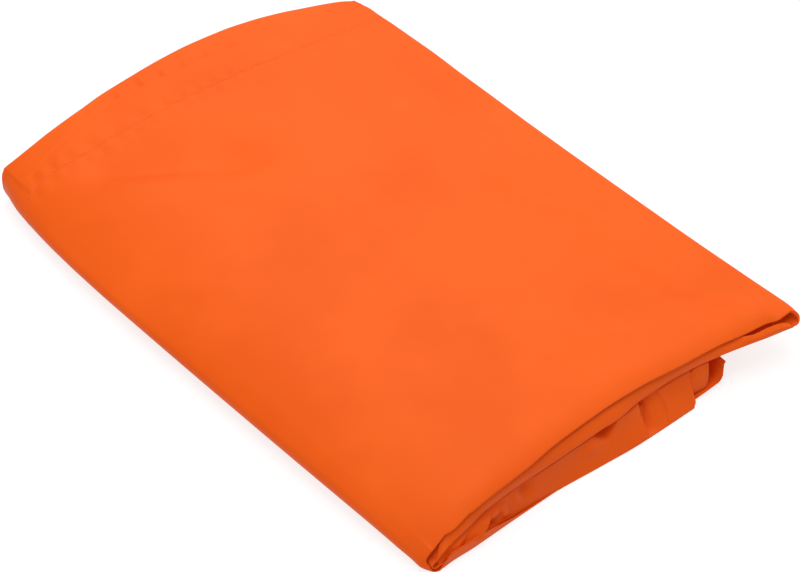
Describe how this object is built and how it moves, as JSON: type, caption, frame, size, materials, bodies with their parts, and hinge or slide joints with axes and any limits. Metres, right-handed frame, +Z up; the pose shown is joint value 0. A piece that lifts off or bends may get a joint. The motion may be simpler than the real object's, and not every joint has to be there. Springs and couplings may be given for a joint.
{
  "type": "hand warmer muff",
  "caption": "Thin blaze orange fabric muff: a flat open-ended sleeve with a faced, curved hand opening, folded in half like a book.",
  "frame": {"origin": "centre of the bottom of the folded muff's box, on the surface it lies on", "axes": "+Y along the fold, towards the faced hand opening; +X across, from the fold to the open side; +Z up"},
  "size_m": [0.2416, 0.359, 0.0312],
  "materials": {
    "orange_cloth": "smooth coated polyester, satin",
    "facing_cloth": "uncoated back of the same cloth, matt",
    "thread": "polyester sewing thread, satin"
  },
  "bodies": {
    "lower_leaf": {"lower_face_panel": "orange_cloth", "lower_back_panel": "orange_cloth", "lower_hem_facing": "facing_cloth", "lower_hem_thread": "thread", "lower_back_hem_facing": "facing_cloth", "lower_back_hem_thread": "thread", "lower_side_allowance": "facing_cloth", "tucked_end_panel": "orange_cloth", "tucked_end_facing": "facing_cloth", "tucked_end_thread": "thread", "outer_fold_turn": "orange_cloth", "inner_fold_turn": "orange_cloth"},
    "upper_leaf": {"upper_face_panel": "orange_cloth", "upper_back_panel": "orange_cloth", "upper_hem_raw_edge": "facing_cloth", "upper_hem_facing": "facing_cloth", "upper_hem_thread": "thread", "upper_back_hem_facing": "facing_cloth", "upper_back_hem_thread": "thread", "upper_side_allowance": "facing_cloth", "upper_side_thread": "thread"}
  },
  "joints": [
    {"name": "book_fold", "type": "hinge", "parent": "lower_leaf", "child": "upper_leaf", "pos_m": [-0.10535, -0.00646, 0.008], "axis": [0.0358, -0.9994, 0], "range_deg": [0, 160], "deforming": ["outer_fold_turn", "inner_fold_turn"]}
  ]
}
